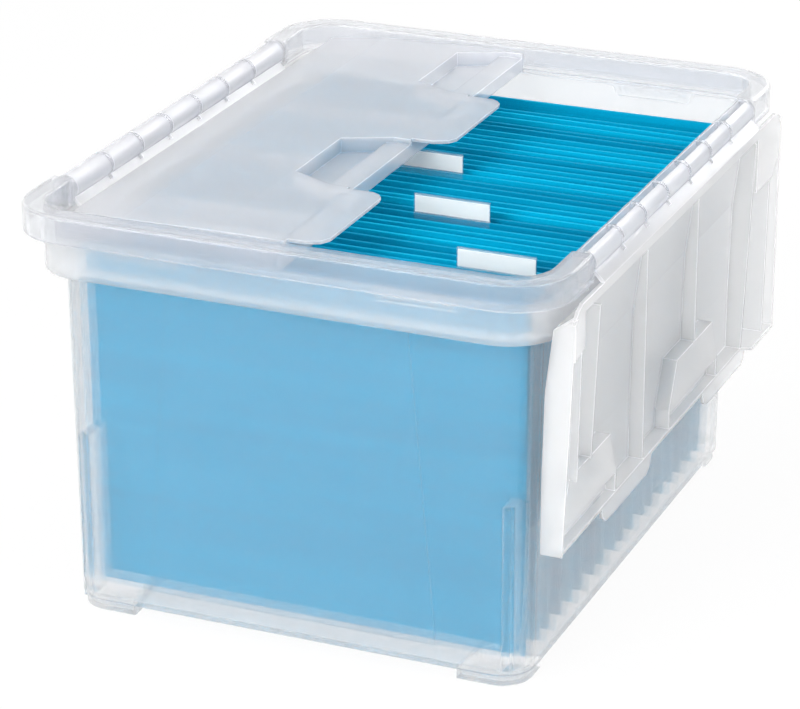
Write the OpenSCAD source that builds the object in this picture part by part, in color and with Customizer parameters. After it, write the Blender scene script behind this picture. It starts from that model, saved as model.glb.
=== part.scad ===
// Portable file box: a translucent moulded tub on four feet, a lid of two
// hinged wings whose tongues lock over each other, and a row of hanging
// folders on metal rods. X runs across the hinges, Y along the row of
// folders, Z up. The left wing is drawn shut, the right wing hangs open.

/* [Tub] */
// Outer width of the rim, from hinge side to hinge side
rim_w = 366.8; // [356:0.2:376]
// Outer length of the rim, along the row of folders
rim_l = 457; // [450:1:465]
// Height from the table to the top of the rim
tub_h = 279.5; // [272:0.5:290]
// Thickness of the moulded walls of tub and wings
wall = 2.2; // [1.8:0.1:2.6]
// Outer corner radius of the rim
rim_r = 40; // [36:1:44]
// Width of the flat band on top of the rim
band_w = 15.3; // [13:0.1:17]
// Depth of the skirt that hangs from the rim
skirt_h = 18; // [15:0.5:20]
// How far the collar below the rim is set in from the rim
collar_in = 11; // [10.4:0.1:12]
// Height of the collar
collar_h = 26.5; // [24:0.5:30]
// How far the body is set in from the collar
shoulder_w = 12.4; // [11:0.1:14]
// How much the body narrows on each side from shoulder to floor
draft = 2.7; // [1:0.1:5]
// Corner radius of the body at the shoulder
body_r = 25; // [20:1:30]
// Height of the four feet
foot_h = 7.5; // [5:0.5:10]
// Length of a foot along the ends of the tub
foot_l = 38; // [30:1:45]
// Length of a foot along the sides of the tub
foot_w = 34; // [28:1:42]
// Thickness of the floor
floor_t = 2.5; // [2:0.1:4]
// Height of the stop ribs in the corners, above the floor
stop_h = 112.5; // [80:0.5:140]
// How far the faint panel on each end of the tub stands out
panel = 0.3; // [0.1:0.1:0.8]
// How far the lower edge of that panel is set in from the side of the body
panel_in = 58.3; // [50:0.1:65]

/* [Hinges] */
// Radius of the hinge barrel
barrel_r = 8.4; // [8:0.1:9]
// Diameter of the hinge rod
pin_d = 8; // [7:0.1:8.6]
// Running gap between a clip and the hinge rod
pin_gap = 0.3; // [0.2:0.05:0.5]
// Thickness of the webs that carry the rod
web_t = 3.5; // [3:0.1:5]
// Distance between neighbouring webs
web_pitch = 43; // [40:0.5:44]
// Distance from each end of the rim to the end of the hinge
hinge_end = 70.5; // [68:0.5:76]
// Angle of the mouth of a clip
mouth = 32; // [26:1:60]

/* [Wings] */
// How far the lid surface lies below the top of the rim
lid_drop = 2.1; // [1.5:0.1:3]
// How far a tongue reaches over the middle of the box
reach = 24.5; // [22:0.5:27]
// Gap from the middle of the box to the free edge of a wing
edge_gap = 2.5; // [2:0.1:4]
// Gap between each end of a wing and the inner edge of the rim
end_gap = 7.2; // [5:0.1:10]
// Depth of the skirt at the end beside a finger well
lid_skirt = 14; // [12:0.1:17]
// Depth of the skirt along the free edge of a wing
edge_skirt = 13; // [11:0.1:13.4]
// Distance from the middle of the box to the far side of a finger well
well_far = 46; // [42:0.5:50]
// Depth of a finger well
well_deep = 10; // [8:0.1:12]
// Width of the bar between a finger well and the free edge
bar_w = 16.5; // [14:0.1:18]
// How far the bar lies below the lid surface
bar_drop = 3.5; // [3:0.1:5]
// Height of the ribs under a wing
rib_h = 12; // [6:0.1:14]

/* [Folders] */
// Free length in front of the fold of the first folder
front_room = 29.5; // [26:0.5:31]
// Free length behind the fold of the last folder
back_room = 38.6; // [38:0.1:45]
// Width of a folder
folder_w = 298.5; // [280:0.5:300]
// Height of a folder
folder_h = 237.8; // [225:0.1:238]
// Thickness of the folder sheet
sheet = 0.5; // [0.4:0.05:0.7]
// Spacing of the two rods of a folder that hangs shut
rod_gap = 10.1; // [9:0.1:11]
// Thickness of a rod
rod_t = 1.2; // [1:0.1:1.5]
// Height of a rod
rod_h = 8; // [7:0.1:8.5]
// Height of the rail that the rods hook over, above the shoulder
rail_h = 6.8; // [5:0.1:8]
// Spacing of the tab slots in a folder
slot_pitch = 26.1; // [24:0.1:28]
// Width of an index tab
tab_w = 52; // [46:1:56]
// Height that an index tab stands above its folder
tab_h = 13.7; // [12:0.1:14]

/* [Hidden] */
function two(i) = str(i < 10 ? "0" : "", i);
folders = 18;
$fn = 64;

hx = rim_w / 2;
hy = rim_l / 2;
// corner centres of rim, collar and body, and their radii
rim_cx = hx - rim_r;
rim_cy = hy - rim_r;
collar_x = hx - collar_in;
collar_y = hy - collar_in + 0.5;
collar_r = 35;
shoulder_top = tub_h - skirt_h - collar_h + 0.5 + wall;
shoulder_z = shoulder_top - wall;
body_x = collar_x - shoulder_w;
body_y = collar_y - shoulder_w - 0.7;
body_cx = body_x - body_r;
body_cy = body_y - body_r;
step_z = tub_h - skirt_h + 0.5;
inner_x = hx - band_w;
inner_y = hy - band_w;

// hinge line of the right wing, its mirror image carries the left wing
pin_x = hx - barrel_r;
pin_z = tub_h - barrel_r;
hinge_half = hy - hinge_end;
web_y = [for (k = [0:2]) (k + 0.5) * web_pitch + 0.5];
all_webs = concat([for (y = web_y) -y], web_y, [-hinge_half, hinge_half]);
web_gap = 0.6;

// heights of the lid surface and of the trough beside the hinge
lid_z = tub_h - lid_drop;
trough_z = pin_z - barrel_r - 3.1;
lid_low = lid_z - lid_skirt;
wing_y = inner_y - end_gap;
// length along the hinge that a tongue or a finger well takes
zone = (2 * wing_y - 4) / 4;
// line of the second rib from each end
rib_y = wing_y - 17;

// the box in the middle of the rest pose: the open wing stands out on one side
open_x = pin_x + pin_z - trough_z + wall;
mid_x = (open_x - hx) / 2;

// folders
rail_top = shoulder_top + rail_h;
rod_low = rail_top - 3;
rod_half = body_x + 3.6;
folder_top = rod_low + rod_h + 0.2 + sheet;
fold_z = folder_top - folder_h;
hem_h = rod_h + 0.4 + 2 * sheet;
hem_t = rod_t + 0.2 + 2 * sheet;
first_y = front_room - body_y;
pitch = (2 * body_y - front_room - back_room) / (folders - 1);
slots = 11;
tab_folder = [2, 6, 10];
tab_x = [folder_w / 2 - 36, 51.3, 0.4];

plastic = [0.90, 0.93, 0.95, 0.45];
cyan = "#1496c8";

// Shapes shared by several parts

// upright block with round corners, half sizes hw and hl
module slab(hw, hl, r, h) {
    translate([-hw, -(hl - r), 0]) cube([2 * hw, 2 * (hl - r), h]);
    translate([-(hw - r), -hl, 0]) cube([2 * (hw - r), 2 * hl, h]);
    for (sx = [-1, 1], sy = [-1, 1])
        translate([sx * (hw - r), sy * (hl - r), 0]) cylinder(h = h, r = r);
}

// block with round corners that widens upwards, the corner centres stay put
module tapered(cx, cy, r_low, r_top, h) {
    rotate([90, 0, 0])
        linear_extrude(2 * cy, center = true)
            polygon([[-cx - r_low, 0], [cx + r_low, 0], [cx + r_top, h], [-cx - r_top, h]]);
    rotate([90, 0, 90])
        linear_extrude(2 * cx, center = true)
            polygon([[-cy - r_low, 0], [cy + r_low, 0], [cy + r_top, h], [-cy - r_top, h]]);
    for (sx = [-1, 1], sy = [-1, 1])
        translate([sx * cx, sy * cy, 0]) cylinder(h = h, r1 = r_low, r2 = r_top);
}

// one profile of radius and height, run round a rectangle with round corners
module run_round(cx, cy, profile) {
    for (s = [0, 1]) {
        rotate([0, 0, 180 * s]) {
            rotate([90, 0, 0])
                linear_extrude(2 * cy, center = true)
                    translate([cx, 0]) polygon(profile);
            rotate([90, 0, 90])
                linear_extrude(2 * cx, center = true)
                    translate([cy, 0]) polygon(profile);
            translate([cx, cy, 0]) rotate_extrude(angle = 90) polygon(profile);
            translate([-cx, cy, 0]) rotate([0, 0, 90]) rotate_extrude(angle = 90) polygon(profile);
        }
    }
}

// outline in X and Z, drawn out along Y from y0 to y1
module along_y(y0, y1, outline) {
    translate([0, y1, 0]) rotate([90, 0, 0]) linear_extrude(y1 - y0) polygon(outline);
}

// outline in Y and Z, drawn out along X from x0 to x1
module along_x(x0, x1, outline) {
    translate([x0, 0, 0]) rotate([90, 0, 90]) linear_extrude(x1 - x0) polygon(outline);
}

// a bent strip of even thickness: the line p, and the same line t to its left
function unit(v) = v / norm(v);
function left(a, b) = let (d = unit(b - a)) [-d[1], d[0]];
function mitre(a, b, c, t) =
    let (m = left(a, b), n = left(b, c)) b + (m + n) * t / (1 + m * n);
function beside(p, t) = let (e = len(p) - 1) [
    for (i = [0:e])
        i == 0 ? p[0] + left(p[0], p[1]) * t
        : i == e ? p[e] + left(p[e - 1], p[e]) * t
        : mitre(p[i - 1], p[i], p[i + 1], t)
];
function strip(p, t) = let (q = beside(p, t), e = len(p) - 1)
    concat(p, [for (i = [e:-1:0]) q[i]]);
// a closed outline grown by t, for outlines that run anticlockwise
function grown(p, t) = let (n = len(p)) [
    for (i = [0:n - 1]) mitre(p[(i + n - 1) % n], p[i], p[(i + 1) % n], -t)
];
// points of an arc
function arc(x, y, r, a0, a1, steps) = [
    for (k = [0:steps])
        let (a = a0 + (a1 - a0) * k / steps) [x + r * cos(a), y + r * sin(a)]
];

// moves a piece so that the box stands over the middle of its rest pose
module placed() {
    translate([-mid_x, 0, 0]) children();
}

// Tub

// rim: a flat band with a rounded outer edge, its skirt and its inner wall
function rim_profile() = let (a = rim_r - band_w, e = 3) concat(
    [[rim_r - wall, tub_h - skirt_h], [rim_r, tub_h - skirt_h]],
    arc(rim_r - e, tub_h - e, e, 0, 90, 6),
    arc(a + 1.5, tub_h - 1.5, 1.5, 90, 180, 4),
    [[a, step_z - wall], [a + wall, step_z - wall]],
    [[a + wall, tub_h - wall], [rim_r - wall, tub_h - wall]]
);

module rim() {
    difference() {
        run_round(rim_cx, rim_cy, rim_profile());
        // the sides are open between the ends of the hinge rods
        for (s = [-1, 1])
            translate([s * hx, 0, tub_h])
                cube([2 * band_w + 4, 2 * hinge_half + 4, 2 * (skirt_h + wall + 1)], center = true);
    }
    // walls that close the rim where a hinge begins
    for (sx = [-1, 1], sy = [-1, 1])
        translate([sx * pin_x, sy * (hinge_half + 2 + wall / 2), 0])
            along_y(-wall / 2, wall / 2, [
                [-barrel_r + 1.5, step_z - wall], [barrel_r, tub_h - skirt_h],
                [barrel_r, tub_h - 2.5], [barrel_r - 2.5, tub_h],
                [-barrel_r + 2.5, tub_h], [-barrel_r + 1.5, tub_h - 1.5]
            ]);
}

// step between the inner wall of the rim and the collar, lower in two places
module step_web() {
    difference() {
        translate([0, 0, step_z - wall]) slab(collar_x, collar_y, collar_r, wall);
        translate([0, 0, step_z - wall - 1])
            slab(inner_x, inner_y, rim_r - band_w, wall + 2);
        dips(grow = 0, cut = true);
        // the wings pass here, so that the step ends beside the hinges
        translate([-hx, -hinge_half - 2, step_z - wall - 1])
            cube([2 * hx, 2 * hinge_half + 4, wall + 2]);
    }
    dips(grow = wall, cut = false);
}

// outline of one dip of the step, in X and Z: its middle, half its length, its depth
dip_mid = hx / 2;
dip_half = 23.5;
dip_deep = 7.5;
function dip(low, t) = [
    [dip_mid - dip_half - 6 - t, step_z], [dip_mid - dip_half - t, low - t],
    [dip_mid + dip_half + t, low - t], [dip_mid + dip_half + 6 + t, step_z]
];
function dip_cut(low) = concat(dip(low, 0), [
    [dip_mid + dip_half + 6, step_z + 1], [dip_mid - dip_half - 6, step_z + 1]
]);
module dips(grow, cut) {
    dip_z = step_z - dip_deep;
    for (sx = [0, 1], sy = [0, 1]) mirror([sx, 0, 0]) mirror([0, sy, 0]) {
        if (cut)
            along_y(inner_y + wall, collar_y - wall, dip_cut(dip_z));
        else {
            // wall of the dip, in line with the inner wall of the rim
            along_y(inner_y, inner_y + wall, dip(dip_z, wall));
            difference() {
                along_y(inner_y, collar_y - wall / 2, dip(dip_z, wall));
                along_y(inner_y + wall, collar_y, dip_cut(dip_z));
            }
        }
    }
}

// shelf below a hinge, the webs on it and the rod that they carry
module hinge_seat() {
    shelf_z = pin_z - barrel_r - 0.7;
    difference() {
        union() {
            along_y(-hinge_half - 3, hinge_half + 3, [
                [collar_x - wall, shelf_z - wall], [pin_x + 5 - wall, shelf_z - wall],
                [pin_x + 5 - wall, shelf_z - 6], [pin_x + 5, shelf_z - 6],
                [pin_x + 5, shelf_z], [collar_x - wall, shelf_z]
            ]);
            for (y = all_webs) {
                translate([pin_x, y + web_t / 2, pin_z])
                    rotate([90, 0, 0]) cylinder(h = web_t, r = barrel_r);
                along_y(y - web_t / 2, y + web_t / 2, [
                    [collar_x - wall, shelf_z - 1], [pin_x + 5, shelf_z - 1],
                    [pin_x + 6.4, pin_z - 5], [collar_x - wall - 1, pin_z - 5]
                ]);
            }
            translate([pin_x, hinge_half + 3, pin_z])
                rotate([90, 0, 0]) cylinder(h = 2 * hinge_half + 6, d = pin_d);
        }
    }
}

// block that is cut to the four feet, inset d from their outside
module feet_block(d, h) {
    fx = body_x - draft - 2;
    fy = body_y - draft - 2;
    intersection() {
        slab(fx - d, fy - d, body_r - draft - 2 - d + 0.01, h);
        for (sx = [-1, 1], sy = [-1, 1])
            linear_extrude(h)
                polygon([
                    [sx * (fx - foot_l + d), sy * (fy - foot_w + d)],
                    [sx * (fx + 9), sy * (fy - foot_w + d)],
                    [sx * (fx + 9), sy * (fy + 9)],
                    [sx * (fx - foot_l + d - 5), sy * (fy + 9)],
                    [sx * (fx - foot_l + d - 5), sy * (fy - 8)]
                ]);
    }
}

module tub_body() {
    body_h = shoulder_z - foot_h;
    r_low = body_r - draft;
    panel_low = body_x - draft - panel_in;
    panel_top = panel_low - 18;
    difference() {
        union() {
            translate([0, 0, foot_h]) {
                tapered(body_cx, body_cy, r_low, body_r, body_h + wall / 2);
                // faintly raised panel on each end of the tub, narrower at the top
                intersection() {
                    tapered(body_cx, body_cy, r_low + panel, body_r + panel, body_h);
                    along_y(-hy, hy, [
                        [-panel_low, 14], [panel_low, 14], [panel_top, body_h + 1],
                        [-panel_top, body_h + 1]
                    ]);
                }
            }
            feet_block(0, foot_h + 1);
            // shoulder and collar
            translate([0, 0, shoulder_z])
                slab(collar_x, collar_y, collar_r, step_z - shoulder_z);
        }
        translate([0, 0, foot_h + floor_t])
            tapered(body_cx, body_cy, r_low - wall, body_r - wall, body_h + wall);
        translate([0, 0, shoulder_top])
            slab(collar_x - wall, collar_y - wall, collar_r - wall, step_z);
        translate([0, 0, wall]) feet_block(wall, foot_h + floor_t);
    }
    // stop ribs in the corners, which carry a box that is nested inside
    for (sx = [-1, 1], sy = [-1, 1])
        translate([sx * (body_x - 15), sy * (body_y - draft - 9.6), foot_h + floor_t + stop_h / 2 - 0.5])
            cube([6.3, 18, stop_h + 1], center = true);
    // rails for the rods
    for (s = [-1, 1])
        translate([s * (body_x - wall / 2) - wall / 2, -(body_y - 8), shoulder_top - 0.5])
            cube([wall, 2 * (body_y - 8), rail_h + 0.5]);
}

module tub() {
    placed() color(plastic) {
        tub_body();
        rim();
        step_web();
        hinge_seat();
        mirror([1, 0, 0]) hinge_seat();
    }
}

// Wings

// the lid is a little lower towards the hinge
crown = 1.4;
// surface line of the lid from the hinge to the free edge, in X and Z
function lid_line(end) = [
    [-pin_x + 5.2, pin_z - 5.6], [-pin_x + 6.5, pin_z - 7.1], [-pin_x + 11, trough_z],
    [-pin_x + 16, trough_z], [-pin_x + 24.5, lid_z - 6.2], [-pin_x + 65, lid_z - crown],
    [-well_far - wall, lid_z], [end, lid_z]
];

// plan of one tongue, whose zone starts at y = 0
function tongue() = [
    [-edge_gap - 5, 2.2], [12, 2.4], [reach - 3.5, 6.5], [reach, 13],
    [reach, zone - 14], [reach - 0.8, zone - 9.5], [reach - 4, zone - 5.2],
    [reach - 9, zone - 2.4], [-edge_gap - 5, zone - 2.2]
];

// plan of the whole lid surface without its tongues
function lid_plan() = let (n = hinge_half - web_t / 2 - web_gap, a = -pin_x + 10.5) [
    [-pin_x - 2, -n], [a, -n], [a, -wing_y + 13], [a + 2.4, -wing_y + 6],
    [a + 6, -wing_y + 1.6], [a + 10, -wing_y], [edge_gap - 1.3, -wing_y],
    [edge_gap - 1.3, -2 * zone + 2.4], [-edge_gap, -2 * zone + 2.4], [-edge_gap, wing_y],
    [a + 10, wing_y], [a + 6, wing_y - 1.6], [a + 2.4, wing_y - 6], [a, wing_y - 13],
    [a, n], [-pin_x - 2, n]
];

// plan of one finger well, whose zone starts at y = 0
function well() = [
    [-well_far, 15.5], [-15, 1], [20, 1], [20, zone - 1], [-15, zone - 1],
    [-well_far, zone - 15.5]
];

module on_plan(z0, z1, plan) {
    translate([0, 0, z0]) linear_extrude(z1 - z0) polygon(plan);
}

// walls and floor of one finger well, and the bar on its open side
module well_pan() {
    bar_x = -edge_gap - bar_w;
    floor_z = lid_z - well_deep;
    difference() {
        intersection() {
            on_plan(floor_z - wall, lid_z - 0.01, grown(well(), wall));
            translate([-well_far - wall - 1, 0, 0])
                cube([well_far + wall + 1 - edge_gap, zone, tub_h]);
        }
        // the well itself
        intersection() {
            on_plan(floor_z, lid_z + 1, well());
            translate([-hx, 0, 0]) cube([hx + bar_x, zone, 2 * tub_h]);
        }
        // the space over the bar
        on_plan(lid_z - bar_drop, lid_z + 1, well());
        // the hollow under the bar
        translate([bar_x + wall, 1 + wall, 0])
            cube([bar_w, zone - 2 - 2 * wall, lid_z - bar_drop - wall]);
    }
}

// a rib under the lid from x0 to x1, its lower edge at low0 and at low1
module lid_rib(y, x0, x1, t, low0, low1) {
    along_y(y - t / 2, y + t / 2, concat(
        [[x0, low0], [x1, low1], [x1, lid_z - 1], [-well_far - wall, lid_z - 1]],
        x0 < -pin_x + 65 ? [[-pin_x + 65, lid_z - crown - 1]] : [],
        x0 < -pin_x + 24.5 ? [
            [-pin_x + 24.5, lid_z - 7.2], [-pin_x + 17, trough_z - 0.3], [x0, trough_z - 0.3]
        ]
        : [[x0, lid_z - 1 - crown - (x0 < -pin_x + 65 ? 5 : 0)]]
    ));
}

// stiffening shelf in a corner beside the hinge, level with the trough
module corner_shelf(plan) {
    on_plan(trough_z - wall, trough_z, plan);
}

// seven snap-on clips that turn on the hinge rod, mouth to the outside
module clips() {
    n = hinge_half - web_t / 2 - web_gap;
    difference() {
        translate([-pin_x, n, pin_z]) rotate([90, 0, 0]) cylinder(h = 2 * n, r = barrel_r);
        translate([-pin_x, n + 1, pin_z])
            rotate([90, 0, 0]) cylinder(h = 2 * n + 2, d = pin_d + 2 * pin_gap);
        translate([-pin_x, 0, pin_z])
            along_y(-n - 1, n + 1, [
                [0, 0], [-20 * cos(mouth / 2), 20 * sin(mouth / 2)], [-30, 0],
                [-20 * cos(mouth / 2), -20 * sin(mouth / 2)]
            ]);
    }
}

// the left wing, shut
module wing() {
    well_zone = [-zone, zone];
    tongue_zone = [-2 * zone, 0];
    rib_x = -pin_x + 26;
    skirt_x = -pin_x + 20;
    deep_z = trough_z - wall;
    difference() {
        union() {
            difference() {
                intersection() {
                    along_y(-wing_y, wing_y, strip(lid_line(reach + 5), -wall));
                    union() {
                        on_plan(0, 2 * tub_h, lid_plan());
                        for (y = tongue_zone) translate([0, y, 0]) on_plan(0, 2 * tub_h, tongue());
                    }
                }
                for (y = well_zone) translate([0, y, 0]) on_plan(lid_z - bar_drop, lid_z + 1, well());
            }
            for (y = well_zone) translate([0, y, 0]) well_pan();
            clips();
            // skirt along the free edge, full under the tongues, low at the bars
            translate([-edge_gap - wall, -wing_y, lid_z - edge_skirt])
                cube([wall, 2 * wing_y, edge_skirt - bar_drop - wall / 2]);
            for (y = tongue_zone)
                translate([-edge_gap - wall, y + 1, lid_z - edge_skirt])
                    cube([wall, zone - 2, edge_skirt - 1]);
            // deep skirt round the end beside a tongue, shallower one beside a well
            lid_rib(-wing_y + wall / 2, skirt_x, -edge_gap, wall, deep_z, deep_z);
            lid_rib(wing_y - wall / 2, skirt_x, -edge_gap, wall, deep_z, lid_low);
            along_x(-edge_gap - wall, -edge_gap, [
                [-wing_y, deep_z], [-1.5 * zone - 4, deep_z], [-1.5 * zone, lid_z - edge_skirt + 1],
                [-1.5 * zone, lid_z - 3], [-wing_y, lid_z - 3]
            ]);
            // stiffening of both corners beside the hinge
            corner_shelf([
                [skirt_x, -wing_y + 1], [-pin_x + 40, -wing_y + 1], [-pin_x + 55, -rib_y - 0.8],
                [-pin_x + 55, -1.5 * zone], [skirt_x - 5, -1.5 * zone], [skirt_x - 5, -wing_y + 8]
            ]);
            corner_shelf([
                [skirt_x, wing_y - 1], [-pin_x + 44, wing_y - 1], [-pin_x + 40, rib_y - 0.8],
                [skirt_x - 5, rib_y - 0.8], [skirt_x - 5, wing_y - 8]
            ]);
            lid_rib(rib_y, skirt_x, -well_far - 1, 1.6, trough_z - wall / 2, lid_z - 17);
            lid_rib(-rib_y, skirt_x, -edge_gap - 1, 1.6, trough_z - wall / 2, lid_z - 17);
            // ribs across the wing, which stop at the finger wells
            lid_rib(-1.5 * zone, skirt_x, -edge_gap - 1, 2, trough_z - wall / 2, lid_z - 13);
            lid_rib(1.5 * zone, rib_x, -well_far - 1, 2, lid_z - 17, lid_z - 13);
            lid_rib(0.5 * zone, rib_x, -edge_gap - 1, 2, lid_z - rib_h, lid_z - rib_h);
            lid_rib(-0.5 * zone, rib_x, -well_far - 1, 2, lid_z - rib_h, lid_z - rib_h);
        }
        // room for the webs of the tub
        for (y = all_webs)
            translate([-pin_x, y + web_t / 2 + web_gap, pin_z])
                rotate([90, 0, 0]) cylinder(h = web_t + 2 * web_gap, r = barrel_r + 2.8);
        translate([-pin_x, wing_y, pin_z])
            rotate([90, 0, 0]) cylinder(h = 2 * wing_y, d = pin_d + 2 * pin_gap);
    }
}

module wing_left() {
    placed() color(plastic) wing();
}

// the right wing is the same moulding turned half round, and hangs open
module wing_right() {
    placed()
        color(plastic)
            translate([pin_x, 0, pin_z]) rotate([0, -90, 0]) translate([-pin_x, 0, -pin_z])
                rotate([0, 0, 180]) wing();
}

// Folders

function fold_y(i) = first_y + pitch * i;
// distance of the two rods from the fold, the last folder stands open
function rod_y(i, side) = fold_y(i) + (side > 0 && i == folders - 1 ? 19 : side * rod_gap / 2);

// one flap: sheet from the fold to the hem, and the hem round its rod
module flap(i, side) {
    y1 = rod_y(i, side);
    y0 = fold_y(i) + side * 1.2;
    z1 = folder_top - hem_h;
    e = side * sheet / 2;
    along_x(-folder_w / 2, folder_w / 2, side > 0
        ? [[y0 - e, fold_z], [y0 + e, fold_z], [y1 + e, z1 + sheet], [y1 - e, z1 + sheet]]
        : [[y0 + e, fold_z], [y1 + e, z1 + sheet], [y1 - e, z1 + sheet], [y0 - e, fold_z]]);
    difference() {
        translate([-folder_w / 2, y1 - hem_t / 2, z1]) cube([folder_w, hem_t, hem_h]);
        translate([-folder_w / 2 - 1, y1 - hem_t / 2 + sheet, z1 + sheet])
            cube([folder_w + 2, hem_t - 2 * sheet, hem_h - 2 * sheet]);
    }
}

module folder(i) {
    z1 = folder_top - hem_h;
    placed() color(cyan) difference() {
        union() {
            flap(i, -1);
            flap(i, 1);
            translate([-folder_w / 2, fold_y(i) - 1.2 - sheet / 2, fold_z])
                cube([folder_w, 2.4 + sheet, sheet]);
        }
        // slots for index tabs below the hem of the front flap
        for (k = [0:slots - 1])
            translate([(k - (slots - 1) / 2) * slot_pitch - 1.5 + 8, rod_y(i, -1) - 3, z1 - 3.2])
                cube([3, 6, 2.2]);
    }
}

// two flat rods with a notch near each end that hooks over the rails
module rod_pair(i) {
    notch_x = body_x - wall / 2;
    placed() color("#b9bec3") for (side = [-1, 1]) {
        difference() {
            translate([-rod_half, rod_y(i, side) - rod_t / 2, rod_low])
                cube([2 * rod_half, rod_t, rod_h]);
            for (s = [-1, 1])
                translate([s * notch_x - wall / 2 - 0.7, rod_y(i, side) - rod_t, rod_low - 1])
                    cube([wall + 1.4, 2 * rod_t, rail_top - rod_low + 1.1]);
        }
    }
}

// Index tabs

tab_wall = 0.7;
tab_slit = 1.2;
function tab_y(n) = rod_y(tab_folder[n], -1) - hem_t / 2 - 0.2 - tab_wall;

// clear sleeve on the front of a folder, with two lugs through its slots
module tab(n) {
    z1 = folder_top - hem_h;
    k0 = round((tab_x[n] - 8) / slot_pitch);
    placed() color([0.95, 0.97, 1, 0.5]) {
        translate([tab_x[n] - tab_w / 2, tab_y(n), z1 - 3]) cube([tab_w, tab_wall, hem_h + 3 + tab_h]);
        translate([tab_x[n] - tab_w / 2, tab_y(n) + tab_wall + tab_slit, folder_top + 0.5])
            cube([tab_w, tab_wall, tab_h - 0.5]);
        translate([tab_x[n] - tab_w / 2, tab_y(n), folder_top + tab_h - tab_wall])
            cube([tab_w, 2 * tab_wall + tab_slit, tab_wall]);
        translate([tab_x[n] - tab_w / 2, tab_y(n), folder_top + 0.5])
            cube([tab_w, 2 * tab_wall + tab_slit, tab_wall]);
        for (k = [k0 - 1:k0 + 1])
            if (abs(k * slot_pitch + 8 - tab_x[n]) < tab_w / 2 - 3)
                translate([k * slot_pitch + 8 - 1.1, tab_y(n), z1 - 2.9]) cube([2.2, 3.6, 1.5]);
    }
}

// paper insert in a sleeve
module insert(n) {
    placed() color("white")
        translate([tab_x[n] - tab_w / 2 + 0.5, tab_y(n) + tab_wall + 0.2, folder_top + 0.7 + tab_wall])
            cube([tab_w - 1, tab_slit - 0.4, tab_h - 1.4 - 2 * tab_wall]);
}

tub();
wing_left();
wing_right();
for (i = [0:folders - 1]) {
    folder(i);
    rod_pair(i);
}
for (n = [0:2]) {
    tab(n);
    insert(n);
}
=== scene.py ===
# %% [markdown]
# # A portable file box
# This lesson dresses a translucent storage box with a two-winged lid and a
# row of hanging folders. The shapes of the moulded pieces come from the
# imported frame, so most of the work is in the materials: a frosted plastic
# that lets the coloured folders show through, card, steel, clear plastic
# and paper.

# %% Load the frame
import bpy
import math
from mathutils import Matrix, Vector


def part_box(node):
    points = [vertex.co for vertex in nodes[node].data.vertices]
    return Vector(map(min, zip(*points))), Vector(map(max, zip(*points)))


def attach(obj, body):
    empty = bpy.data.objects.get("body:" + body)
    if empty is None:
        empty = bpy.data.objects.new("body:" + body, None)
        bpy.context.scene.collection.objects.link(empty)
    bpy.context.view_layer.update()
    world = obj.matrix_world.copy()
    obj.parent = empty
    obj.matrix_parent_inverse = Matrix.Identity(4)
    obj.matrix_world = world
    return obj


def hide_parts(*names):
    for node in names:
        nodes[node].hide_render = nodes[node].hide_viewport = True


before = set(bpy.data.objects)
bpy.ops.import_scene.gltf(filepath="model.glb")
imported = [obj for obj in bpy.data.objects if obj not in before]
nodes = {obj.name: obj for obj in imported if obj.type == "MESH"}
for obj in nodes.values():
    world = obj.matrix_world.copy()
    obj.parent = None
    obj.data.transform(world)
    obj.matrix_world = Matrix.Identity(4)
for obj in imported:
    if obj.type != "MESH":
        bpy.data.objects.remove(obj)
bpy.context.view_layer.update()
MM = 0.001

# %% [markdown]
# ## Colour and node helpers
# Colours are easiest to pick as sRGB hex values, but shaders work in linear
# light, so one function converts them. A second function adds a node, sets
# its values and joins its inputs, which keeps each material to a few lines.

# %% Helpers
def linear(hex_colour):
    """An sRGB hex colour as linear red, green, blue and alpha."""
    channels = [int(hex_colour[i:i + 2], 16) / 255 for i in (1, 3, 5)]
    return [c / 12.92 if c <= 0.04045 else ((c + 0.055) / 1.055) ** 2.4 for c in channels] + [1.0]


def add_node(tree, kind, settings=None, links=None):
    """Adds a node; settings are attributes or input values, links are sockets."""
    node = tree.nodes.new(kind)
    for key, value in (settings or {}).items():
        if hasattr(node, key) and key not in node.inputs:
            setattr(node, key, value)
        else:
            node.inputs[key].default_value = value
    for key, socket in (links or {}).items():
        tree.links.new(socket, node.inputs[key])
    return node


def new_material(name):
    """An empty material with its output node, ready for a surface."""
    material = bpy.data.materials.new(name)
    material.use_nodes = True
    material.node_tree.nodes.clear()
    output = material.node_tree.nodes.new("ShaderNodeOutputMaterial")
    return material, material.node_tree, output


print("white in linear light:", linear("#ffffff")[:3])

# %% [markdown]
# ## Natural polypropylene
# The tub and the wings are injection-moulded polypropylene with no pigment.
# It is milky: part of the light is scattered in the wall, part of it passes
# and shows what stands close behind. The mould is finely blasted, so the
# surface is satin. Every wall is two surfaces in the mesh, so each surface
# does half of the work. The real index of refraction is about 1.49. Here 1.25
# was chosen, with some alpha and scattering, because it shows the ends
# of the folders through a wall that is seen at a low angle.

# %% Polypropylene
COLLAR_LOW, COLLAR_HIGH = 234 * MM, 236.5 * MM
RIM_LOW, RIM_HIGH = 260 * MM, 262 * MM
RIM_EDGE_SHARE = 0.45


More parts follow.
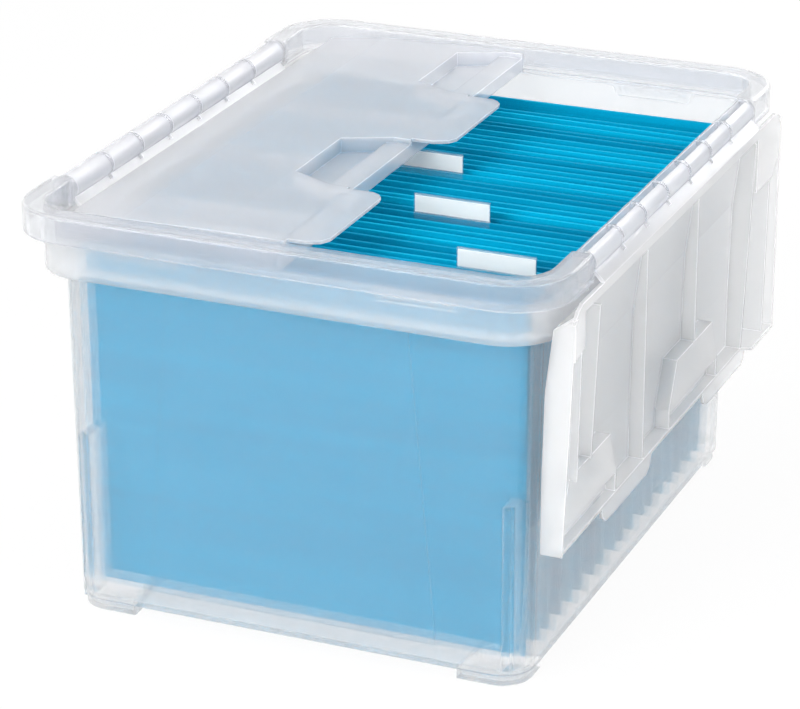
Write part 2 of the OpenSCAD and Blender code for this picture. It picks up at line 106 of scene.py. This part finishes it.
def make_polypropylene(name, clear_low, clear_mid, clear_top, rim_shade_colour, edge_low):
    material, tree, output = new_material(name)
    place = add_node(tree, "ShaderNodeTexCoord")
    # blasted mould texture has grains of about 0.4 mm; it is drawn at 1.2 mm, and its
    # bump stays very weak, because a stronger one hides what stands behind the wall
    grain = add_node(tree, "ShaderNodeTexNoise", {"Scale": 1 / (1.2 * MM), "Detail": 3.0},
                     {"Vector": place.outputs["Object"]})
    # flow of the melt leaves clouds about 60 mm across; the roughness stays in a
    # narrow low range, as a wider one gives false outlines once the picture is denoised
    cloud = add_node(tree, "ShaderNodeTexNoise", {"Scale": 1 / (60 * MM), "Detail": 2.0},
                     {"Vector": place.outputs["Object"]})
    roughness = add_node(tree, "ShaderNodeMapRange",
                         {"From Min": 0.3, "From Max": 0.7, "To Min": 0.09, "To Max": 0.13},
                         {"Value": cloud.outputs["Fac"]})
    tint = add_node(tree, "ShaderNodeMix", {"data_type": "RGBA"}, {"Factor": cloud.outputs["Fac"]})
    tint.inputs["A"].default_value = linear("#f3f4f6")
    tint.inputs["B"].default_value = linear("#f9f9fa")
    # moulded edges are never sharp: their light line comes from a 1.1 mm round
    edge = add_node(tree, "ShaderNodeBevel", {"samples": 6, "Radius": 1.1 * MM})
    bump = add_node(tree, "ShaderNodeBump", {"Strength": 0.004, "Distance": 0.05 * MM},
                    {"Height": grain.outputs["Fac"], "Normal": edge.outputs["Normal"]})
    # the collar looks milkier than the body; the rim is nearly as clear as the body, and
    # is given a greyer colour, a painted shade, so that it stands out from a white ground
    split = add_node(tree, "ShaderNodeSeparateXYZ", {}, {"Vector": place.outputs["Object"]})
    collar = add_node(tree, "ShaderNodeMapRange",
                      {"From Min": COLLAR_LOW, "From Max": COLLAR_HIGH,
                       "To Min": clear_low, "To Max": clear_mid},
                      {"Value": split.outputs["Z"]})
    rim = add_node(tree, "ShaderNodeMapRange",
                   {"From Min": RIM_LOW, "From Max": RIM_HIGH,
                    "To Min": 0.0, "To Max": clear_top - clear_mid},
                   {"Value": split.outputs["Z"]})
    # above the rim line the colour turns to the greyer rim colour, a painted shade
    rim_shade_band = add_node(tree, "ShaderNodeMapRange", {"From Min": RIM_LOW, "From Max": RIM_HIGH},
                     {"Value": split.outputs["Z"]})
    shade = add_node(tree, "ShaderNodeMix", {"data_type": "RGBA"},
                     {"Factor": rim_shade_band.outputs["Result"]})
    tree.links.new(tint.outputs["Result"], shade.inputs["A"])
    shade.inputs["B"].default_value = linear(rim_shade_colour)
    clear = add_node(tree, "ShaderNodeMath", {"operation": "ADD"})
    tree.links.new(collar.outputs["Result"], clear.inputs[0])
    tree.links.new(rim.outputs["Result"], clear.inputs[1])
    # along an edge the light crosses more plastic, so edges are whiter: there the
    # rounded normal leans away from the flat one
    flat = add_node(tree, "ShaderNodeNewGeometry")
    lean = add_node(tree, "ShaderNodeVectorMath", {"operation": "DOT_PRODUCT"})
    tree.links.new(edge.outputs["Normal"], lean.inputs[0])
    tree.links.new(flat.outputs["True Normal"], lean.inputs[1])
    # the steps on the body are shallow, so their edges whiten less than the rim's
    edge_share = add_node(tree, "ShaderNodeMapRange",
                          {"From Min": COLLAR_LOW, "From Max": COLLAR_HIGH,
                           "To Min": edge_low, "To Max": RIM_EDGE_SHARE},
                          {"Value": split.outputs["Z"]})
    milky = add_node(tree, "ShaderNodeMapRange",
                     {"From Min": 0.8, "From Max": 0.985, "To Max": 1.0},
                     {"Value": lean.outputs["Value"], "To Min": edge_share.outputs["Result"]})
    clear_edge = add_node(tree, "ShaderNodeMath", {"operation": "MULTIPLY"})
    tree.links.new(clear.outputs["Value"], clear_edge.inputs[0])
    tree.links.new(milky.outputs["Result"], clear_edge.inputs[1])
    surface = add_node(tree, "ShaderNodeBsdfPrincipled",
                       {"IOR": 1.25, "Specular IOR Level": 0.5, "Alpha": 0.6,
                        "Subsurface Weight": 1.0, "Subsurface Scale": 12 * MM,
                        "Coat Weight": 0.6, "Coat Roughness": 0.1, "Coat IOR": 1.45},
                       {"Base Color": shade.outputs["Result"],
                        "Roughness": roughness.outputs["Result"],
                        "Normal": bump.outputs["Normal"],
                        "Coat Normal": edge.outputs["Normal"],
                        "Transmission Weight": clear_edge.outputs["Value"]})
    surface.inputs["Subsurface Radius"].default_value = (1.0, 1.0, 1.0)
    tree.links.new(surface.outputs["BSDF"], output.inputs["Surface"])
    return material


# how clear body, collar and rim are, the greyer rim colour that is painted shade, and how clear
# edges stay
tub_plastic = make_polypropylene("natural_polypropylene", 0.88, 0.66, 0.84, "#e6e8ed", 0.88)
wing_plastic = make_polypropylene("milky_polypropylene", 0.52, 0.52, 0.52, "#eeeff5", 0.45)
print("made", tub_plastic.name, wing_plastic.name)

# %% [markdown]
# ## Folder card
# The folders are pressed from coloured card. Its fibres give a matt surface
# with fine specks, and the colour is dyed through. Faint streaks along the
# length are painted shade for the uneven light between the folders. No two
# sheets of a batch match exactly, and the folders take three shades in turn,
# partly that real tone and partly painted shade for folders in more or less light.

# %% Folder card
def make_card(name, deep, light):
    material, tree, output = new_material(name)
    place = add_node(tree, "ShaderNodeTexCoord")
    # card fibres are about 0.05 mm thick and 1.5 mm long; drawn 1 mm wide
    fibre = add_node(tree, "ShaderNodeTexNoise",
                     {"Scale": 1 / (1.0 * MM), "Detail": 4.0, "Roughness": 0.7},
                     {"Vector": place.outputs["Object"]})
    # painted shade in streaks about 250 mm long and 3 mm high
    drawn_out = add_node(tree, "ShaderNodeMapping", {"Scale": (4.0, 120.0, 330.0)},
                         {"Vector": place.outputs["Object"]})
    shade_streak = add_node(tree, "ShaderNodeTexNoise", {"Scale": 1.0, "Detail": 3.0},
                      {"Vector": drawn_out.outputs["Vector"]})
    mixed = add_node(tree, "ShaderNodeMath", {"operation": "MULTIPLY_ADD"})
    tree.links.new(fibre.outputs["Fac"], mixed.inputs[0])
    mixed.inputs[1].default_value = 0.4
    scaled = add_node(tree, "ShaderNodeMath", {"operation": "MULTIPLY"})
    tree.links.new(shade_streak.outputs["Fac"], scaled.inputs[0])
    scaled.inputs[1].default_value = 0.6
    tree.links.new(scaled.outputs["Value"], mixed.inputs[2])
    colour = add_node(tree, "ShaderNodeValToRGB", {}, {"Fac": mixed.outputs["Value"]})
    colour.color_ramp.elements[0].position = 0.36
    colour.color_ramp.elements[0].color = linear(deep)
    colour.color_ramp.elements[1].position = 0.62
    colour.color_ramp.elements[1].color = linear(light)
    # folded and cut edges are drawn round to 0.5 mm, about the thickness of the card
    edge = add_node(tree, "ShaderNodeBevel", {"samples": 4, "Radius": 0.5 * MM})
    bump = add_node(tree, "ShaderNodeBump", {"Strength": 0.12, "Distance": 0.04 * MM},
                    {"Height": fibre.outputs["Fac"], "Normal": edge.outputs["Normal"]})
    surface = add_node(tree, "ShaderNodeBsdfPrincipled",
                       {"Roughness": 0.62, "IOR": 1.45, "Specular IOR Level": 0.04},
                       {"Base Color": colour.outputs["Color"], "Normal": bump.outputs["Normal"]})
    tree.links.new(surface.outputs["BSDF"], output.inputs["Surface"])
    return material


# three shades of one card: their spread is partly real tone and partly painted shade
card_tones_and_painted_shade = [make_card("cyan_card_a", "#0094be", "#00aad3"),
               make_card("cyan_card_b", "#0085ad", "#009bc5"),
               make_card("cyan_card_c", "#009dc7", "#00b5de")]
print("made", len(card_tones_and_painted_shade), "shades of card")

# %% [markdown]
# ## Steel, clear plastic and paper
# The rods are taken to be cold-rolled strip with a thin zinc coat. The index
# tabs are clear polystyrene, and a slip of white paper sits inside each.

# %% Rods, tabs and inserts
def make_zinc_steel():
    material, tree, output = new_material("zinc_coated_steel")
    place = add_node(tree, "ShaderNodeTexCoord")
    # rolling marks run along the strip, about 0.3 mm apart
    along = add_node(tree, "ShaderNodeMapping", {"Scale": (40.0, 3000.0, 3000.0)},
                     {"Vector": place.outputs["Object"]})
    marks = add_node(tree, "ShaderNodeTexNoise", {"Scale": 1.0, "Detail": 2.0},
                     {"Vector": along.outputs["Vector"]})
    roughness = add_node(tree, "ShaderNodeMapRange", {"To Min": 0.28, "To Max": 0.48},
                         {"Value": marks.outputs["Fac"]})
    colour = add_node(tree, "ShaderNodeValToRGB", {}, {"Fac": marks.outputs["Fac"]})
    colour.color_ramp.elements[0].color = linear("#a9aeb3")
    colour.color_ramp.elements[1].color = linear("#c4c8cb")
    surface = add_node(tree, "ShaderNodeBsdfPrincipled", {"Metallic": 1.0},
                       {"Base Color": colour.outputs["Color"],
                        "Roughness": roughness.outputs["Result"]})
    tree.links.new(surface.outputs["BSDF"], output.inputs["Surface"])
    return material


def make_clear_plastic():
    material, tree, output = new_material("clear_polystyrene")
    place = add_node(tree, "ShaderNodeTexCoord")
    # the plastic has a faint haze in patches about 8 mm across
    haze = add_node(tree, "ShaderNodeTexNoise", {"Scale": 1 / (8 * MM), "Detail": 2.0},
                    {"Vector": place.outputs["Object"]})
    roughness = add_node(tree, "ShaderNodeMapRange", {"To Min": 0.05, "To Max": 0.12},
                         {"Value": haze.outputs["Fac"]})
    surface = add_node(tree, "ShaderNodeBsdfPrincipled",
                       {"IOR": 1.45, "Transmission Weight": 0.9, "Alpha": 0.35},
                       {"Roughness": roughness.outputs["Result"]})
    surface.inputs["Base Color"].default_value = linear("#f4fafc")
    tree.links.new(surface.outputs["BSDF"], output.inputs["Surface"])
    return material


def make_paper():
    material, tree, output = new_material("uncoated_white_paper")
    place = add_node(tree, "ShaderNodeTexCoord")
    # paper fibres are finer than a millimetre; drawn at 0.8 mm so that they show
    fibre = add_node(tree, "ShaderNodeTexNoise", {"Scale": 1 / (0.8 * MM), "Detail": 3.0},
                     {"Vector": place.outputs["Object"]})
    colour = add_node(tree, "ShaderNodeValToRGB", {}, {"Fac": fibre.outputs["Fac"]})
    colour.color_ramp.elements[0].color = linear("#e9ebea")
    colour.color_ramp.elements[1].color = linear("#f7f7f5")
    bump = add_node(tree, "ShaderNodeBump", {"Strength": 0.08, "Distance": 0.02 * MM},
                    {"Height": fibre.outputs["Fac"]})
    surface = add_node(tree, "ShaderNodeBsdfPrincipled", {"Roughness": 0.85},
                       {"Base Color": colour.outputs["Color"], "Normal": bump.outputs["Normal"]})
    tree.links.new(surface.outputs["BSDF"], output.inputs["Surface"])
    return material


zinc_steel = make_zinc_steel()
clear_plastic = make_clear_plastic()
paper = make_paper()
print("made", zinc_steel.name, clear_plastic.name, paper.name)

# %% [markdown]
# ## Dressing the frame
# Each piece of the frame has a name that says what it is, so the name alone
# decides its material. The folders take the three shades of card in turn.

# %% Dress the pieces of the frame
def dress(name, material):
    """Gives a piece of the frame its material in every slot."""
    piece = nodes[name]
    if not piece.data.materials:
        piece.data.materials.append(material)
    for index in range(len(piece.material_slots)):
        piece.material_slots[index].material = material


for name in nodes:
    if name == "tub":
        dress(name, tub_plastic)
    elif name.startswith("wing"):
        dress(name, wing_plastic)
    elif name.startswith("folder"):
        dress(name, card_tones_and_painted_shade[int(name[-2:]) % 3])
    elif name.startswith("rods"):
        dress(name, zinc_steel)
    elif name.startswith("tab"):
        dress(name, clear_plastic)
    else:
        dress(name, paper)
print("dressed", len(nodes), "pieces")

# %% [markdown]
# ## Folders that have been used
# A hanging folder is a sheet folded in a V, with a steel strip in the hem of
# each flap. The strips are thin, so they bow a little between the rails
# under load, and the sheet bellies and swings below them. That is
# why the row looks uneven from above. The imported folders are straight, so
# each is copied, its hems are rounded, it is cut across every 25 mm so that it
# can bend, and its vertices are pushed along the row by a smooth rule. Its
# two strips get the same bow, and nothing moves at the rails. The amounts are
# random draws within a small range; they follow no single folder.

# %% Helpers for bending
import bmesh
import random

HEM_H, HEM_T = 9.4 * MM, 2.4 * MM
HEM_ROUND = 1.1 * MM
RAIL_X = 158.9 * MM     # from the middle of the tub to the middle of a rail
SHIFT_X = -2.65     # the middle of the tub in X, in mm: the open wing moves the origin
MIDDLE_X = SHIFT_X * MM
CUT_HEIGHTS = (40, 70, 100, 130, 160, 185, 205, 222, 234)


def bent_copy(node, name, hems, push):
    """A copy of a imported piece, rounded on its hems, cut across and pushed along Y."""
    mesh = nodes[node].data.copy()
    mesh.name = name
    low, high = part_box(node)
    cutter = bmesh.new()
    cutter.from_mesh(mesh)
    bmesh.ops.dissolve_limit(cutter, angle_limit=math.radians(0.5), verts=cutter.verts,
                             edges=cutter.edges)
    if hems:
        tops = [e for e in cutter.edges
                if all(abs(v.co.z - high[2]) < 1e-5 for v in e.verts)
                and abs(e.verts[0].co.x - e.verts[1].co.x) > 0.1]
        bmesh.ops.bevel(cutter, geom=tops, offset=HEM_ROUND, segments=4, profile=0.5,
                        affect="EDGES")
    stations = [((x * 25 + 12.5) * MM + MIDDLE_X, (1, 0, 0), 0) for x in range(-7, 7)]
    if hems:
        stations += [(z * MM, (0, 0, 1), 2) for z in CUT_HEIGHTS]
    for place, normal, axis in stations:
        point = [0, 0, 0]
        point[axis] = place
        everything = cutter.verts[:] + cutter.edges[:] + cutter.faces[:]
        bmesh.ops.bisect_plane(cutter, geom=everything, plane_co=point, plane_no=normal)
    for vertex in cutter.verts:
        vertex.co.y += push(vertex.co)
    bmesh.ops.triangulate(cutter, faces=[f for f in cutter.faces if len(f.verts) > 4])
    cutter.to_mesh(mesh)
    cutter.free()
    mesh.shade_smooth()
    mesh.set_sharp_from_angle(angle=math.radians(40))
    piece = bpy.data.objects.new(name, mesh)
    bpy.context.scene.collection.objects.link(piece)
    return piece


# %% Bend the folders and their strips
FOLDERS = 18
TAB_FOLDERS = (3, 7, 11)
# largest amounts in mm: bow of a hem, skew of its ends, swing of the fold, and the
# belly of a sheet, which is larger outwards than inwards
BOW, SKEW, SWING = 1.9, 0.7, 3.0
BELLY_OUT, BELLY_IN = 2.2, 0.6
FOLD_FROM_HEM = 5.05 * MM
chance = random.Random(11)
for number in range(1, FOLDERS + 1):
    node, rods = f"folder_{number:02d}", f"rods_{number:02d}"
    low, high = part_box(node)
    bow_front, bow_back = chance.uniform(-BOW, BOW) * MM, chance.uniform(-BOW, BOW) * MM
    belly_front = chance.uniform(-BELLY_OUT, BELLY_IN) * MM
    belly_back = chance.uniform(-BELLY_IN, BELLY_OUT) * MM
    skew_front, skew_back = chance.uniform(-SKEW, SKEW) * MM, chance.uniform(-SKEW, SKEW) * MM
    swing = chance.uniform(-SWING, SWING) * MM
    if number in TAB_FOLDERS:
        # the hem that carries a tab stays straight, so that the tab sits on it
        bow_front = skew_front = 0.0
    if number + 1 in TAB_FOLDERS:
        # and the flap in front of it bows away from the tab
        bow_back, skew_back = -abs(bow_back), 0.0
    if number == FOLDERS:
        # the last folder stands open close to the end wall, so its flap bows inwards
        bow_back, belly_back = -abs(bow_back), -0.5 * MM
        skew_back, swing = 0.0, -abs(swing)
    front_y = low[1] + HEM_T / 2
    fold_y = front_y + FOLD_FROM_HEM
    hem_z = high[2] - HEM_H

    def strip_push(point):
        span = (point.x - MIDDLE_X) / RAIL_X
        front = point.y < fold_y
        bow, skew = (bow_front, skew_front) if front else (bow_back, skew_back)
        return bow * max(0.0, math.cos(span * math.pi / 2)) + skew * math.sin(span * math.pi)

    def sheet_push(point):
        rise = min(1.0, max(0.0, (point.z - low[2]) / (hem_z - low[2])))
        span = (point.x - MIDDLE_X) / RAIL_X
        belly = belly_front if point.y < fold_y else belly_back
        return (strip_push(point) * rise + swing * (1 - rise)
                + belly * math.sin(rise * math.pi) * (0.75 + 0.25 * math.cos(span * math.pi * 1.7)))

    sheet_piece = bent_copy(node, f"folder_sheet_{number:02d}", True, sheet_push)
    strip_piece = bent_copy(rods, f"folder_strips_{number:02d}", False, strip_push)
    for piece, replaced, slot in ((sheet_piece, node, "folder_card"),
                                  (strip_piece, rods, "rod_steel")):
        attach(piece, node)
        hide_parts(replaced)
print("bent", FOLDERS, "folders, each of", len(sheet_piece.data.polygons), "faces")

# %% [markdown]
# ## Camera
# The camera stands in front, a little to the right and above, at about 2.3 m,
# with a long lens, so the box shows little perspective. Its values come from
# a fit of the outline of the box, with the box's length taken as known.

# %% Camera
IMAGE_W, IMAGE_H = 800, 709
FOCAL_PX = 3398.3
AZIMUTH, ELEVATION, ROLL = (math.radians(a) for a in (22.641, 22.349, 0.064))
DISTANCE = 2.28749
TARGET = Vector(((0.933 + SHIFT_X) * MM, 0.0, 125.686 * MM))
CENTRE_PX = (415.68, 353.65)

back = Vector((math.sin(AZIMUTH) * math.cos(ELEVATION), -math.cos(AZIMUTH) * math.cos(ELEVATION),
               math.sin(ELEVATION)))
right = Vector((math.cos(AZIMUTH), math.sin(AZIMUTH), 0.0))
up = back.cross(right)
right_rolled = right * math.cos(ROLL) + up * math.sin(ROLL)
up_rolled = up * math.cos(ROLL) - right * math.sin(ROLL)

camera_data = bpy.data.cameras.new("camera")
camera_data.sensor_width = 36.0
camera_data.sensor_fit = "HORIZONTAL"
camera_data.lens = FOCAL_PX / IMAGE_W * camera_data.sensor_width
camera_data.shift_x = (IMAGE_W / 2 - CENTRE_PX[0]) / IMAGE_W
camera_data.shift_y = (CENTRE_PX[1] - IMAGE_H / 2) / IMAGE_W
camera = bpy.data.objects.new("camera", camera_data)
bpy.context.scene.collection.objects.link(camera)
axes = Matrix((right_rolled, up_rolled, back)).transposed().to_4x4()
camera.matrix_world = Matrix.Translation(TARGET + back * DISTANCE) @ axes
bpy.context.scene.camera = camera
print("lens", round(camera_data.lens, 1), "mm")

# %% [markdown]
# ## Floor, world and lamps
# A white sweep with soft light from above and both sides. The background is
# pure white for the camera and for what is seen through the plastic, while
# the light on the object keeps its own plain level.

# %% White backdrop
FLOOR_GLOW_SHARE = 0.93     # the rest of the floor's colour keeps the shadow
FLOOR_HALF = 6.0
WORLD_LIGHT, WORLD_SEEN = 0.55, 1.0


def backdrop_ray(tree):
    """1 for the rays that show the white backdrop: camera, transmission and glossy."""
    path = add_node(tree, "ShaderNodeLightPath")
    seen = add_node(tree, "ShaderNodeMath", {"operation": "MAXIMUM"})
    tree.links.new(path.outputs["Is Camera Ray"], seen.inputs[0])
    tree.links.new(path.outputs["Is Transmission Ray"], seen.inputs[1])
    seen_too = add_node(tree, "ShaderNodeMath", {"operation": "MAXIMUM"})
    tree.links.new(seen.outputs["Value"], seen_too.inputs[0])
    tree.links.new(path.outputs["Is Glossy Ray"], seen_too.inputs[1])
    return seen_too.outputs["Value"]


def make_floor_material():
    material, tree, output = new_material("white_studio_floor")
    share = add_node(tree, "ShaderNodeMath", {"operation": "MULTIPLY"})
    tree.links.new(backdrop_ray(tree), share.inputs[0])
    share.inputs[1].default_value = FLOOR_GLOW_SHARE
    diffuse = add_node(tree, "ShaderNodeBsdfDiffuse")
    diffuse.inputs["Color"].default_value = linear("#f2f2f2")
    glow = add_node(tree, "ShaderNodeEmission", {"Strength": 1.0})
    mix = add_node(tree, "ShaderNodeMixShader", {}, {"Fac": share.outputs["Value"]})
    tree.links.new(diffuse.outputs["BSDF"], mix.inputs[1])
    tree.links.new(glow.outputs["Emission"], mix.inputs[2])
    tree.links.new(mix.outputs["Shader"], output.inputs["Surface"])
    return material


floor_mesh = bpy.data.meshes.new("floor")
corners = [(x * FLOOR_HALF, y * FLOOR_HALF, 0) for x, y in ((-1, -1), (1, -1), (1, 1), (-1, 1))]
floor_mesh.from_pydata(corners, [], [(0, 1, 2, 3)])
floor = bpy.data.objects.new("floor", floor_mesh)
floor.location.z = -0.0002
floor.data.materials.append(make_floor_material())
bpy.context.scene.collection.objects.link(floor)

world = bpy.data.worlds.new("studio")
bpy.context.scene.world = world
world.use_nodes = True
tree = world.node_tree
tree.nodes.clear()
world_out = add_node(tree, "ShaderNodeOutputWorld")
strength = add_node(tree, "ShaderNodeMapRange", {"To Min": WORLD_LIGHT, "To Max": WORLD_SEEN},
                    {"Value": backdrop_ray(tree)})
sky = add_node(tree, "ShaderNodeBackground", {}, {"Strength": strength.outputs["Result"]})
sky.inputs["Color"].default_value = (1.0, 1.0, 1.0, 1.0)
tree.links.new(sky.outputs["Background"], world_out.inputs["Surface"])
print("backdrop:", floor.name, world.name)

# %% Lamps
LAMP_AIM = (0, 0, 0.14)


def soft_lamp(name, place, size, power):
    """A square area lamp aimed at the middle of the box."""
    data = bpy.data.lights.new(name, "AREA")
    data.size = size
    data.energy = power
    lamp = bpy.data.objects.new(name, data)
    lamp.location = place
    lamp.rotation_euler = (Vector(LAMP_AIM) - Vector(place)).to_track_quat("-Z", "Y").to_euler()
    bpy.context.scene.collection.objects.link(lamp)
    return lamp


soft_lamp("top_lamp", (-0.8, -0.4, 2.1), 1.2, 15)
soft_lamp("front_lamp", (-0.7, -2.4, 1.2), 1.5, 55)
soft_lamp("right_lamp", (2.2, -0.6, 1.3), 1.4, 32)
soft_lamp("back_lamp", (0.4, 2.5, 1.3), 1.5, 20)
bpy.context.scene.view_settings.view_transform = "Standard"
